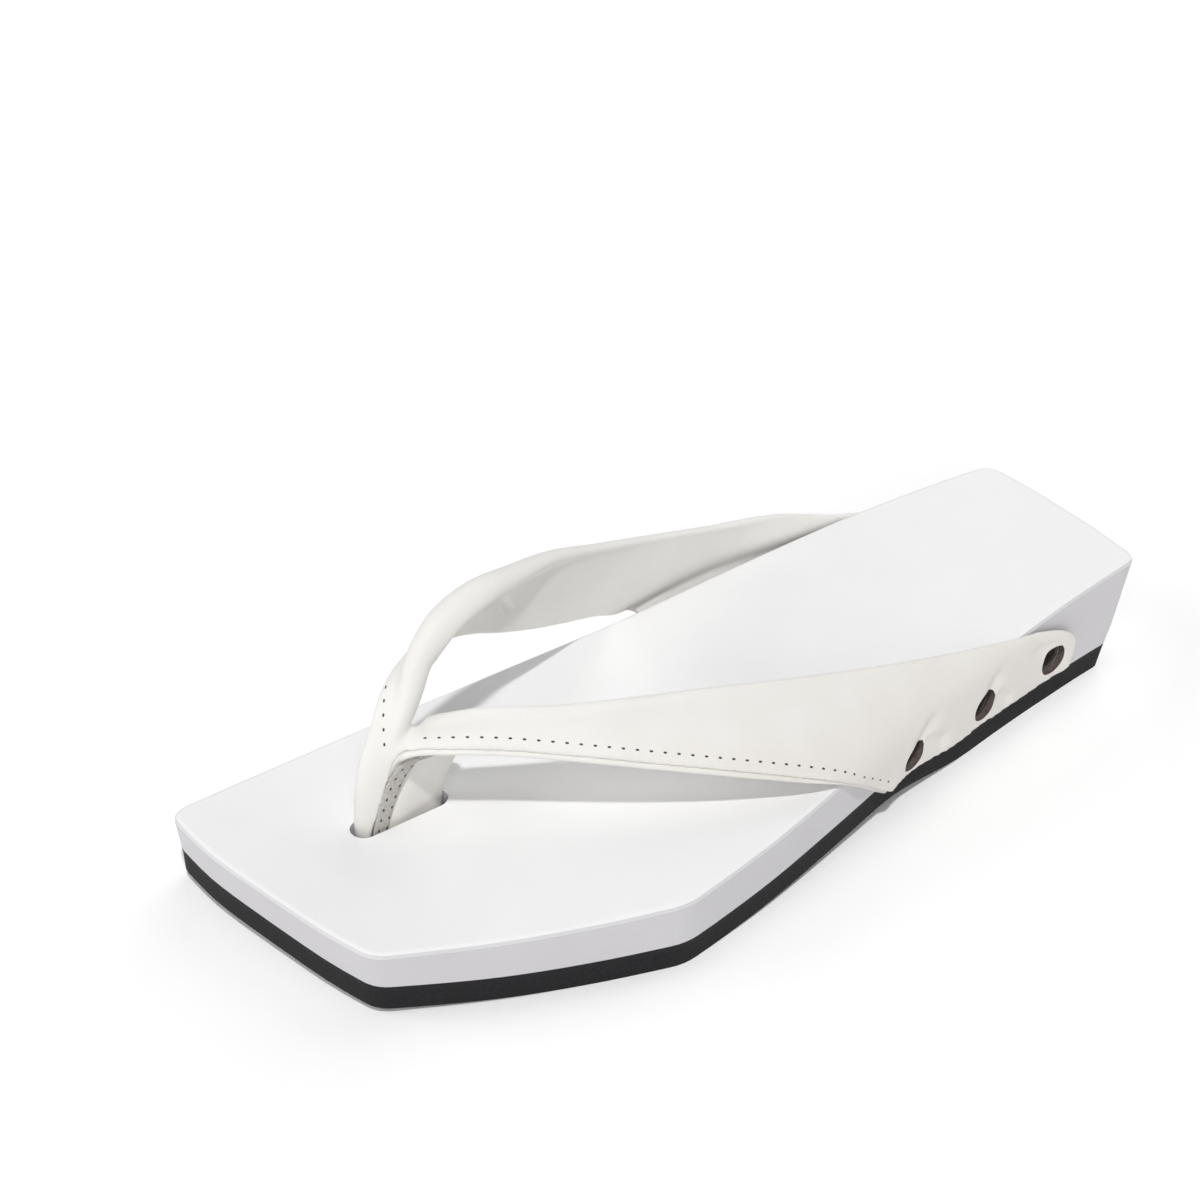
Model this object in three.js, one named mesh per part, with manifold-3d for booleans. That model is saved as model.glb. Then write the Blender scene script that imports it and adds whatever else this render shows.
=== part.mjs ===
// Geta, left shoe: a painted wooden block on a rubber outsole, with a wide leather V strap and a toe post.
// Millimetres. Toe towards -Y, up is +Z, lateral side towards +X, floor at z = 0.
import * as THREE from 'three';
import Module from 'manifold-3d';

// Block
const FOREFOOT_TOP = 18.8;
const HEEL_SLOPE = 0.0777;
const SLOPE_START_Y = -45;
const SLOPE_BLEND = 14;
const RUBBER = 7;
const TOE_SPRING = 2.6;
const SPRING_START_Y = -58;
const ARCH = { start: -40, peak: 28, end: 64, lift: 4.3 };
const FRONT_Y = -125;
const HEEL_Y = 126;
const EDGE_ROUND = 1.2;
const SIDE_TUCK = 0.9;
const HEEL_TUCK = 6.6;
const HEEL_KINK = 4.6;
const HEEL_TUCK_START_Y = 92;
const RUBBER_TUCK = 0.5;

// Toe post and its slot in the block
const POST_X = -10;
const SLOT = { front: -94.2, rear: -67.6, halfWidth: 3.6, floor: 11 };
const FOLD = { front: -93.4, middle: -89.9, rear: -86.4, halfWidth: 3.2, lean: 5.4, pinch: 0.7 };
const CORE = { front: -85.9, rear: -68.3, halfWidth: 2.6, top: 30.2 };

// Leather and its round holes
const LEATHER = 2.4;
const CLEAR = 0.35;
const MEDIAL_SLACK = 2.6;
const HOLE_RADIUS = 3.9;
const HOLE_HEIGHT = 15.6;
const HOLE_Y = [35.6, 63.8, 91.5];
const HOLE_DEPTH = 8;

// Top outline of the block: the points each edge passes through, corner to corner
const EDGES = {
  toeMedial: [[-43.2, -125.2], [-24.6, -124.9], [-4.1, -121.6]],
  toeLateral: [[-4.1, -121.6], [15, -117.8], [29.4, -113.6]],
  ball: [[29.4, -113.6], [41.5, -89], [50.6, -66.2], [57.6, -45.6]],
  lateral: [
    [57.6, -45.6], [53.4, -18], [48.3, 6], [42.6, 31], [37.8, 56], [34, 77], [30.9, 99], [28.6, 125.2],
  ],
  heelLateral: [[28.6, 125.2], [12, 126.2], [0, 126.3]],
  heelMedial: [[0, 126.3], [-12, 126.2], [-28.6, 125.2]],
  medial: [
    [-28.6, 125.2], [-32.6, 103], [-35.8, 77], [-38, 40],
    [-39.4, 5], [-42.2, -30], [-43.8, -67], [-43.2, -125.2],
  ],
};
const CORNER = { B: 5, A: 4, C: 4, D: 5, E: 4 };

// Strap stations from the post out to the block's top edge: points on the front edge (f) and rear edge (r),
// the radius of the padded rear roll, the front hem's radius where it is padded too, and the middle's swell
const APEX = { fx: -10.4, fy: -87.4, fz: 42.4, rx: -8, ry: -73.4, rz: 42.8, roll: 4, hem: 2.9, swell: 0.4 };
const LATERAL = [
  { fx: -3.8, fy: -82.6, fz: 42, rx: -3.4, ry: -67, rz: 44, roll: 3.4, hem: 1.8, swell: 1 },
  { fx: 3, fy: -74, fz: 42.8, rx: 2.6, ry: -57.4, rz: 45.9, roll: 3, swell: 1.2 },
  { fx: 10, fy: -62.6, fz: 41.5, rx: 8.4, ry: -44.6, rz: 45.9, roll: 2.6, swell: 1.2 },
  { fx: 18, fy: -49.4, fz: 38.9, rx: 14, ry: -29, rz: 44.7, roll: 2.2, swell: 1.2 },
  { fx: 27, fy: -34, fz: 35.4, rx: 19.6, ry: -11.6, rz: 43.4, roll: 1.8, swell: 1.4 },
  { fx: 36, fy: -18.4, fz: 31.7, rx: 25, ry: 9, rz: 40.6, roll: 1.5, swell: 1.6 },
  { fx: 43, fy: -6, fz: 28.6, rx: 29.5, ry: 30, rz: 37.4, roll: 1.3, swell: 1.6 },
  { fx: 47.2, fy: 1.8, fz: 26.6, rx: 32.6, ry: 52, rz: 33.6, roll: 1.2, swell: 1.2 },
];
const MEDIAL = [
  { fx: -12.6, fy: -85, fz: 48.6, rx: -8.9, ry: -73, rz: 54, roll: 4.8, hem: 1.8, swell: 0.4 },
  { fx: -14.2, fy: -79.4, fz: 54.6, rx: -9.7, ry: -68.8, rz: 63.8, roll: 5, swell: 0.4 },
  { fx: -16.4, fy: -70.4, fz: 57.8, rx: -11.7, ry: -61.4, rz: 68, roll: 5, swell: 0.6 },
  { fx: -19.2, fy: -61, fz: 56.6, rx: -15, ry: -50.6, rz: 68, roll: 4.6, swell: 0.8 },
  { fx: -22.6, fy: -51.4, fz: 51.8, rx: -19, ry: -38.6, rz: 66.2, roll: 3.4, swell: 1 },
  { fx: -26.6, fy: -41, fz: 45.4, rx: -23.2, ry: -25, rz: 63.4, roll: 2.2, swell: 2 },
  { fx: -31, fy: -28.6, fz: 38.8, rx: -27.4, ry: -9, rz: 58.2, roll: 1.5, swell: 2.6 },
  { fx: -35, fy: -16.6, fz: 33.4, rx: -31.4, ry: 10.4, rz: 51.6, roll: 1.3, swell: 2.8 },
  { fx: -38.6, fy: -5.4, fz: 29.2, rx: -34.8, ry: 34.6, rz: 43.6, roll: 1.2, swell: 2.4 },
  { fx: -41.4, fy: 3.6, fz: 26.4, rx: -37.4, ry: 58, rz: 35.4, roll: 1.2, swell: 1.6 },
];
// Rows down the block's side: share of the way from the top edge to the leather's foot, and the y range
const SIDE_ROWS = [
  { drop: 0, front: 8, rear: 78 },
  { drop: 0.16, front: 12, rear: 89 },
  { drop: 0.36, front: 15.6, rear: 97.3 },
  { drop: 0.58, front: 19.2, rear: 101.4 },
  { drop: 0.8, front: 22.9, rear: 101.4 },
  { drop: 1, front: 26.6, rear: 100 },
];
const FOOT_ABOVE_SEAT = 0.5;
const ACROSS = [0, 0.06, 0.16, 0.3, 0.44, 0.57, 0.69, 0.79, 0.87, 0.93, 0.97, 1];
const STEPS_ALONG = 3;

const wasm = await Module();
wasm.setup();

const clamp01 = (t) => Math.min(1, Math.max(0, t));
const smooth = (a, b, t) => {
  const k = clamp01((t - a) / (b - a));
  return k * k * (3 - 2 * k);
};
const lerp = (a, b, t) => a + (b - a) * t;

// Height of the block's top, of the rubber's tread, of the block's underside and of the leather's foot, by y.
// The tread rises at the toe and in an arch under the waist.
const topZ = (y) => {
  const run = SLOPE_BLEND * Math.log1p(Math.exp((y - SLOPE_START_Y) / SLOPE_BLEND));
  return FOREFOOT_TOP + HEEL_SLOPE * run;
};
const treadZ = (y) => {
  const spring = clamp01((SPRING_START_Y - y) / (SPRING_START_Y - FRONT_Y));
  const arch = clamp01((y - ARCH.start) / (ARCH.peak - ARCH.start)) ** 1.2 * smooth(ARCH.end, ARCH.peak, y);
  return TOE_SPRING * spring * spring + ARCH.lift * arch;
};
const seatZ = (y) => treadZ(y) + RUBBER;
const footZ = (y) => seatZ(y) + FOOT_ABOVE_SEAT;

// A run of points along an edge, cut back at its ends for the rounded corners
function edgeRun(points, startCut, endCut, count) {
  const curve = new THREE.SplineCurve(points.map(([x, y]) => new THREE.Vector2(x, y)));
  const length = curve.getLength();
  const out = [];
  for (let i = 0; i <= count; i += 1) {
    out.push(curve.getPointAt(lerp(startCut / length, 1 - endCut / length, i / count)));
  }
  return out;
}

function cornerRun(before, corner, after, count) {
  const curve = new THREE.QuadraticBezierCurve(before, new THREE.Vector2(...corner), after);
  return curve.getPoints(count).slice(1, -1);
}

const reversed = (points) => [...points].reverse();

// The outline as two chains of equal length from the middle of the toe edge to the middle of the heel edge
function outlineChains() {
  const toeL = edgeRun(reversed(EDGES.toeMedial), 0, CORNER.B, 8);
  const medial = edgeRun(reversed(EDGES.medial), CORNER.B, CORNER.D, 46);
  const heelL = edgeRun(reversed(EDGES.heelMedial), CORNER.D, 0, 6);
  const left = [
    ...toeL, ...cornerRun(toeL.at(-1), EDGES.toeMedial[0], medial[0], 4),
    ...medial, ...cornerRun(medial.at(-1), EDGES.medial[0], heelL[0], 4), ...heelL,
  ];
  const toeR = edgeRun(EDGES.toeLateral, 0, CORNER.A, 5);
  const ball = edgeRun(EDGES.ball, CORNER.A, CORNER.C, 13);
  const lateral = edgeRun(EDGES.lateral, CORNER.C, CORNER.E, 31);
  const heelR = edgeRun(EDGES.heelLateral, CORNER.E, 0, 6);
  const right = [
    ...toeR, ...cornerRun(toeR.at(-1), EDGES.ball[0], ball[0], 5),
    ...ball, ...cornerRun(ball.at(-1), EDGES.lateral[0], lateral[0], 4),
    ...lateral, ...cornerRun(lateral.at(-1), EDGES.heelLateral[0], heelR[0], 4), ...heelR,
  ];
  return { left, right };
}

const { left: LEFT, right: RIGHT } = outlineChains();
const ROWS = LEFT.length;
// One closed ring: up the lateral chain, back down the medial one
const RING = [...RIGHT, ...reversed(LEFT).slice(1, -1)];
const RING_NORMALS = RING.map((_, i) => {
  const a = RING[(i + RING.length - 1) % RING.length];
  const b = RING[(i + 1) % RING.length];
  return new THREE.Vector2(b.y - a.y, a.x - b.x).normalize();
});
const rightIndex = (i) => i;
const leftIndex = (i) => (i === 0 ? 0 : i === ROWS - 1 ? ROWS - 1 : RING.length - i);

// A ring set in from the outline; the heel's rear face can be tucked forwards more than the sides
function insetRing(side, heel, height) {
  return RING.map((p, i) => {
    const n = RING_NORMALS[i];
    const x = p.x - n.x * side;
    const y = p.y - n.y * side - (heel - side) * smooth(HEEL_TUCK_START_Y, HEEL_Y, p.y);
    return new THREE.Vector3(x, y, height(y));
  });
}

// A solid from rings stacked downwards, closed by a lid over the first and the last
function ringSolid(rings, columns) {
  const points = [];
  const faces = [];
  const n = RING.length;
  rings.forEach((ring) => ring.forEach((p) => points.push(p.x, p.y, p.z)));
  for (let k = 0; k + 1 < rings.length; k += 1) {
    for (let i = 0; i < n; i += 1) {
      const j = (i + 1) % n;
      const [a, b, c, d] = [k * n + i, k * n + j, (k + 1) * n + j, (k + 1) * n + i];
      faces.push(a, d, b, b, d, c);
    }
  }
  const lid = (ring, offset, height, up) => {
    const row = [];
    for (let i = 0; i < ROWS; i += 1) {
      const l = ring[leftIndex(i)];
      const r = ring[rightIndex(i)];
      if (i === 0 || i === ROWS - 1) {
        row.push(new Array(columns + 1).fill(offset + leftIndex(i)));
        continue;
      }
      const ids = [offset + leftIndex(i)];
      for (let c = 1; c < columns; c += 1) {
        const y = lerp(l.y, r.y, c / columns);
        ids.push(points.length / 3);
        points.push(lerp(l.x, r.x, c / columns), y, height(y));
      }
      ids.push(offset + rightIndex(i));
      row.push(ids);
    }
    for (let i = 0; i + 1 < ROWS; i += 1) {
      for (let c = 0; c < columns; c += 1) {
        const [a, b, d, e] = [row[i][c], row[i][c + 1], row[i + 1][c + 1], row[i + 1][c]];
        const tris = [[a, b, d], [a, d, e]];
        tris.filter((t) => new Set(t).size === 3).forEach((t) => faces.push(...(up ? t : reversed(t))));
      }
    }
  };
  lid(rings[0], 0, rings[0].height, true);
  lid(rings.at(-1), (rings.length - 1) * n, rings.at(-1).height, false);
  const geometry = new THREE.BufferGeometry();
  geometry.setAttribute('position', new THREE.Float32BufferAttribute(points, 3));
  geometry.setIndex(faces);
  return geometry;
}

const ringAt = (side, heel, height) => Object.assign(insetRing(side, heel, height), { height });

function solidFrom(geometry) {
  const position = geometry.getAttribute('position');
  const index = geometry.index ? geometry.index.array : [...Array(position.count).keys()];
  const mesh = new wasm.Mesh({
    numProp: 3,
    vertProperties: new Float32Array(position.array),
    triVerts: new Uint32Array(index),
  });
  mesh.merge();
  return new wasm.Manifold(mesh);
}

function geometryFrom(solid) {
  const mesh = solid.getMesh();
  const geometry = new THREE.BufferGeometry();
  geometry.setAttribute('position', new THREE.Float32BufferAttribute(mesh.vertProperties, mesh.numProp));
  geometry.setIndex([...mesh.triVerts]);
  return geometry;
}

// A rounded bar standing in plan between two y values, between two heights
function uprightBar({ front, rear, halfWidth }, low, high, steps) {
  const shape = new THREE.Shape();
  shape.absarc(POST_X, front + halfWidth, halfWidth, Math.PI, 2 * Math.PI, false);
  shape.absarc(POST_X, rear - halfWidth, halfWidth, 0, Math.PI, false);
  const options = { depth: high - low, steps, bevelEnabled: false, curveSegments: 8 };
  const bar = new THREE.ExtrudeGeometry(shape, options);
  bar.translate(0, 0, low);
  return bar;
}

// Outline x on one side of the block at a given y, and the wall's x lower down
function edgeX(side, y) {
  const chain = side > 0 ? RIGHT : LEFT;
  for (let i = 1; i < chain.length; i += 1) {
    const a = chain[i - 1];
    const b = chain[i];
    if (a.y <= y && b.y >= y && Math.sign(a.x) === side && Math.sign(b.x) === side) {
      return lerp(a.x, b.x, (y - a.y) / (b.y - a.y || 1));
    }
  }
  throw new Error(`no outline at y ${y}`);
}
function wallX(side, y, z) {
  const share = clamp01((topZ(y) - z) / (topZ(y) - seatZ(y)));
  return edgeX(side, y) - side * SIDE_TUCK * share;
}

function holeCutters() {
  return [-1, 1].flatMap((side) => HOLE_Y.map((y) => {
    const slope = (wallX(side, y + 4, HOLE_HEIGHT) - wallX(side, y - 4, HOLE_HEIGHT)) / 8;
    const bore = new THREE.CylinderGeometry(HOLE_RADIUS, HOLE_RADIUS, 2 * HOLE_DEPTH, 28);
    bore.rotateZ(Math.PI / 2);
    bore.rotateZ(-Math.atan(slope));
    bore.translate(wallX(side, y, HOLE_HEIGHT), y, HOLE_HEIGHT);
    return solidFrom(bore);
  }));
}

// One cross line of the strap, front edge to rear edge, above the block
function freeRow(s) {
  const front = new THREE.Vector3(s.fx, s.fy, s.fz);
  const rear = new THREE.Vector3(s.rx, s.ry, s.rz);
  const points = ACROSS.map((v) => front.clone().lerp(rear, v));
  return { points, roll: s.roll, hem: s.hem ?? LEATHER / 2, swell: s.swell };
}

// One cross line lying against the block's side
function sideRow(side, { drop, front, rear }) {
  const slack = side < 0 ? MEDIAL_SLACK * smooth(0.5, 0, drop) : 0;
  const points = ACROSS.map((v) => {
    const away = CLEAR + LEATHER / 2 + slack * smooth(1, 0.4, v);
    const y = lerp(front, rear, v);
    const z = lerp(topZ(y), footZ(y), drop);
    if (drop === 0) {
      return new THREE.Vector3(edgeX(side, y) + side * away * 0.72, y, z + away * 0.72);
    }
    return new THREE.Vector3(wallX(side, y, z) + side * away, y, z);
  });
  return { points, roll: LEATHER / 2, hem: LEATHER / 2, swell: 0 };
}

function strapRows() {
  const wing = (side, stations) => [...stations.map(freeRow), ...SIDE_ROWS.map((r) => sideRow(side, r))];
  return [...reversed(wing(1, LATERAL)), freeRow(APEX), ...wing(-1, MEDIAL)];
}

// The strap's middle surface, swept smoothly through its cross lines, then thickened both ways
function strapGeometry() {
  const rows = strapRows();
  const count = (rows.length - 1) * STEPS_ALONG;
  const through = (points) => new THREE.CatmullRomCurve3(points, false, 'centripetal');
  const columns = ACROSS.map((_, j) => through(rows.map((row) => row.points[j])));
  const valueAt = (t, key) => {
    const k = Math.min(rows.length - 2, Math.floor(t * (rows.length - 1)));
    return lerp(rows[k][key], rows[k + 1][key], t * (rows.length - 1) - k);
  };
  const grid = [];
  for (let i = 0; i <= count; i += 1) {
    grid.push(columns.map((c) => c.getPoint(i / count)));
  }
  const width = grid.map((row) => row[0].distanceTo(row.at(-1)));
  const normals = grid.map((row, i) => row.map((_, j) => {
    const along = grid[Math.min(count, i + 1)][j].clone().sub(grid[Math.max(0, i - 1)][j]);
    const across = row[Math.min(row.length - 1, j + 1)].clone().sub(row[Math.max(0, j - 1)]);
    return across.cross(along).normalize();
  }));
  const points = [];
  const n = ACROSS.length;
  const rounded = (radius, d) => (d < radius ? Math.sqrt(radius ** 2 - (radius - d) ** 2) : radius);
  const half = (i, j) => {
    const roll = valueAt(i / count, 'roll');
    const fromFront = ACROSS[j] * width[i];
    const fromRear = width[i] - fromFront;
    const hem = rounded(valueAt(i / count, 'hem'), fromFront);
    return Math.max(0.45, lerp(hem, rounded(roll, fromRear), smooth(2.6 * roll, roll, fromRear)));
  };
  [1, -1].forEach((face) => grid.forEach((row, i) => row.forEach((p, j) => {
    const swell = valueAt(i / count, 'swell') * 4 * ACROSS[j] * (1 - ACROSS[j]);
    const q = p.clone().addScaledVector(normals[i][j], face * half(i, j) + swell);
    points.push(q.x, q.y, q.z);
  })));
  const faces = [];
  const top = (i, j) => i * n + j;
  const under = (i, j) => (count + 1 + i) * n + j;
  const quad = (a, b, c, d) => faces.push(a, b, c, a, c, d);
  for (let i = 0; i < count; i += 1) {
    for (let j = 0; j + 1 < n; j += 1) {
      quad(top(i, j), top(i, j + 1), top(i + 1, j + 1), top(i + 1, j));
      quad(under(i, j), under(i + 1, j), under(i + 1, j + 1), under(i, j + 1));
    }
    quad(top(i, 0), top(i + 1, 0), under(i + 1, 0), under(i, 0));
    quad(top(i, n - 1), under(i, n - 1), under(i + 1, n - 1), top(i + 1, n - 1));
  }
  for (let j = 0; j + 1 < n; j += 1) {
    quad(top(0, j), under(0, j), under(0, j + 1), top(0, j + 1));
    quad(top(count, j), top(count, j + 1), under(count, j + 1), under(count, j));
  }
  const geometry = new THREE.BufferGeometry();
  geometry.setAttribute('position', new THREE.Float32BufferAttribute(points, 3));
  geometry.setIndex(faces);
  return geometry;
}

// The leather fold that runs from the strap's point down the front of the post into the slot
function foldGeometry() {
  const fold = uprightBar(FOLD, SLOT.floor + CLEAR, APEX.fz - 0.4, 10);
  const position = fold.getAttribute('position');
  for (let i = 0; i < position.count; i += 1) {
    const z = position.getZ(i);
    const pinch = lerp(1, FOLD.pinch, smooth(APEX.fz - 9, APEX.fz, z));
    const lean = FOLD.lean * smooth(FOREFOOT_TOP, APEX.fz, z);
    position.setX(i, POST_X + pinch * (position.getX(i) - POST_X));
    position.setY(i, FOLD.middle + lean + pinch * (position.getY(i) - FOLD.middle));
  }
  return fold;
}

// The rounded leather core behind the fold
function coreGeometry() {
  const { front, rear, halfWidth, top } = CORE;
  const base = SLOT.floor + CLEAR;
  const shape = new THREE.Shape();
  shape.moveTo(front + 0.8, base + 0.8);
  shape.lineTo(rear - 0.8, base + 0.8);
  shape.lineTo(rear - 0.8, FOREFOOT_TOP + 1.5);
  shape.bezierCurveTo(rear - 1.2, top - 5, rear - 4, top - 1.6, rear - 8, top - 0.8);
  shape.bezierCurveTo(rear - 9.5, top - 0.5, front + 4.8, top - 0.8, front + 4, top - 2.4);
  shape.lineTo(front + 0.8, FOREFOOT_TOP + 1.2);
  shape.closePath();
  const core = new THREE.ExtrudeGeometry(shape, {
    depth: 2 * halfWidth - 2.4,
    bevelThickness: 1.2,
    bevelSize: 0.8,
    bevelSegments: 3,
    curveSegments: 10,
  });
  core.rotateX(Math.PI / 2);
  core.rotateZ(Math.PI / 2);
  core.translate(POST_X - halfWidth + 1.2, 0, 0);
  return core;
}

const paint = new THREE.MeshStandardMaterial({ name: 'painted_wood', color: 0xf0f0ef, roughness: 0.55 });
const rubber = new THREE.MeshStandardMaterial({ name: 'rubber', color: 0x1c1a1c, roughness: 0.85 });
const leather = new THREE.MeshStandardMaterial({ name: 'leather', color: 0xf1eee6, roughness: 0.6 });

const group = new THREE.Group();
function add(name, geometry, material) {
  const mesh = new THREE.Mesh(geometry, material);
  mesh.name = name;
  group.add(mesh);
}

const holes = holeCutters();

const middle = (y) => lerp(topZ(y), seatZ(y), 0.78);
const block = solidFrom(ringSolid([
  ringAt(EDGE_ROUND, EDGE_ROUND, topZ),
  ringAt(0.3 * EDGE_ROUND, 0.3 * EDGE_ROUND, (y) => topZ(y) - 0.3 * EDGE_ROUND),
  ringAt(0, 0, (y) => topZ(y) - EDGE_ROUND),
  ringAt(0.8 * SIDE_TUCK, HEEL_KINK, middle),
  ringAt(SIDE_TUCK, HEEL_TUCK, seatZ),
], 3));
const slot = solidFrom(uprightBar(SLOT, SLOT.floor, FOREFOOT_TOP + 6, 1));
add('base', geometryFrom(holes.reduce((solid, hole) => solid.subtract(hole), block.subtract(slot))), paint);

add('outsole', ringSolid([
  ringAt(SIDE_TUCK, HEEL_TUCK, seatZ),
  ringAt(SIDE_TUCK + 0.3, HEEL_TUCK + 0.4, (y) => lerp(seatZ(y), treadZ(y), 0.25)),
  ringAt(SIDE_TUCK + RUBBER_TUCK, HEEL_TUCK + 2, treadZ),
], 3), rubber);

const strap = solidFrom(strapGeometry()).add(solidFrom(foldGeometry()));
add('upper', geometryFrom(holes.reduce((solid, hole) => solid.subtract(hole), strap)), leather);

add('toe_post', coreGeometry(), leather);

// The frame's origin is the middle of the footprint, on the floor
const box = new THREE.Box3().setFromObject(group);
const centre = box.getCenter(new THREE.Vector3());
group.children.forEach((mesh) => mesh.geometry.translate(-centre.x, -centre.y, -box.min.z));

export default group;
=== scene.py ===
"""Looks for one left geta: white painted block, black rubber sole, padded white leather V strap and toe post.

Sizes are millimetres in the shoe's own frame (toe towards -Y, lateral side +X, floor at z = 0).
MM turns them to metres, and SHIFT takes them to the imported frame.
"""
import math

import bmesh
import bpy
import numpy as np
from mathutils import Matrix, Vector
from mathutils.bvhtree import BVHTree


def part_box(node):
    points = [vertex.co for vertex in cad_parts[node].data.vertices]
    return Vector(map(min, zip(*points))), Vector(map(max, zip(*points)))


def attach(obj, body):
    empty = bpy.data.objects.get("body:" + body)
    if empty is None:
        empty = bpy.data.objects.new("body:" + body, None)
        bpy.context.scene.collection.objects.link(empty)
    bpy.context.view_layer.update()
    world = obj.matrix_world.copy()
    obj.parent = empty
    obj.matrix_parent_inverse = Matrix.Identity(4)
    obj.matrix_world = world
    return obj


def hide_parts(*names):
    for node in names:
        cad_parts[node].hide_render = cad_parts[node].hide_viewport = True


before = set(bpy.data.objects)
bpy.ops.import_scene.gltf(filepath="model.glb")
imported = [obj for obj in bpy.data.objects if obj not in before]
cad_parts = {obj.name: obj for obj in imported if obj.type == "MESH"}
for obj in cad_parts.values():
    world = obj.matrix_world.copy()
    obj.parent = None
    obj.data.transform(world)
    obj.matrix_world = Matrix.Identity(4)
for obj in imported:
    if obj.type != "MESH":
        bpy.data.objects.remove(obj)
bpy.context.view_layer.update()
MM = 0.001

# Driving sizes, as on the block and strap in the frame
FOREFOOT_TOP = 18.8
HEEL_SLOPE = 0.0777
SLOPE_START_Y = -45.0
SLOPE_BLEND = 14.0
SIDE_TUCK = 0.9
RUBBER = 7.0
ARCH_START_Y = -40.0
ARCH_PEAK_Y = 28.0
ARCH_END_Y = 64.0
ARCH_LIFT = 4.3
ARCH_POWER = 1.2
POST_X = -10.0
CORE_FRONT = -85.9
LEATHER = 1.9
LINING_WIDTH = 5.5
# Share of that width, from the hem, over which the lining has its full depth
LINING_FULL = 0.4
EDGE_ROUND = 0.9
# The rear roll swells from the hem's thickness: how far from the rear edge that starts, and over what length,
# both in radii of the roll
ROLL_REACH = 2.3
ROLL_BLEND = 1.2
CLEAR = 0.35
# How far the medial wing hangs off the block's edge
MEDIAL_SLACK = 3.0
# Where the strap passes the block's top edge: shares of its standoff taken outward and upward, by side
EDGE_TURN = {1: (0.72, 0.72), -1: (1.0, -0.2)}
FOOT_ABOVE_SEAT = 0.5
HOLE_HEIGHT = 15.6
HOLE_LENGTH = 9.0
# How far the rear end and the front corner of the foot stand off the block's side
REAR_CURL = 0.9
FOOT_CURL = 0.9
# Where slack and curls fade in or out: shares of the way across, front to rear, and down, top edge to foot
SLACK_ACROSS, SLACK_DOWN = (1, 0.4), (0.7, 0.15)
REAR_CURL_ACROSS, REAR_CURL_DOWN = (0.86, 1), (0.05, 0.4)
FOOT_CURL_ACROSS, FOOT_CURL_DOWN = (0.12, 0), (0.5, 1)
TOP_CURL_ACROSS = (0.7, 1)
# Each hole in the leather is drawn out to a leaf.
# Columns: y of its middle, width, lean of its length in degrees
HOLES = [(35.6, 6.0, 37.0), (63.8, 7.6, 38.0), (91.5, 8.0, 52.0)]
# How far the leather's foot wanders from a line along the seat: y and rise
FOOT_WAVE = [
    (26, -1.9), (34, -0.6), (42, 0.0), (51, 0.3), (57, 1.2),
    (63, 2.0), (71, 1.5), (79, 1.3), (92, 1.8), (103, 2.6),
]
FOOT_WAVE_STEPS = 6
STITCH_PITCH = 3.3
STITCH_INSET = 2.7
# The medial stitch line nears the hem as it climbs: insets at each row from the bend of the post upward
MEDIAL_INSETS = (4.7, 3.2, 1.8)
STITCH_LENGTH = 0.9
STITCH_WIDTH = 0.55
STITCH_SIDES = 12
# Rings of a stitch from below the surface to its top. Columns: share of its size, height
STITCH_RINGS = ((1.0, -0.35), (1.0, 0.02), (0.7, 0.09), (0.35, 0.12))
# A stitch looks for its surface from this far out, and over this length
STITCH_START = 4
STITCH_SEARCH = 9
# Radius round each hole's centre within which the block is painted dark as the shade in its bore
BORE_SHADE_RADIUS = 5.2
# Painted shade darkens the leather towards its lateral foot. In the imported frame: the direction read, and
# where along it the leather has its full painted shade and where it has none
SHADE_SLOPE = (-0.5, 0.0, 1.0)
SHADE_FROM = -4.0
SHADE_TO = 46.0
VOXEL = 0.58
SMOOTH_FACTOR = 0.5
SETTLE_ROUNDS = 7
MELT_ROUNDS = 24
# Edges sharper than this stay sharp, in degrees
LEATHER_SHARP = 50
ROUND_SHARP = 60
CAD_SHARP = 35

# Where the shoe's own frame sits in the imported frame
core_low, core_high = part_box("toe_post")
SHIFT = np.array([(core_low.x + core_high.x) / 2 / MM - POST_X, core_low.y / MM - CORE_FRONT, 0.0])

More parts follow.
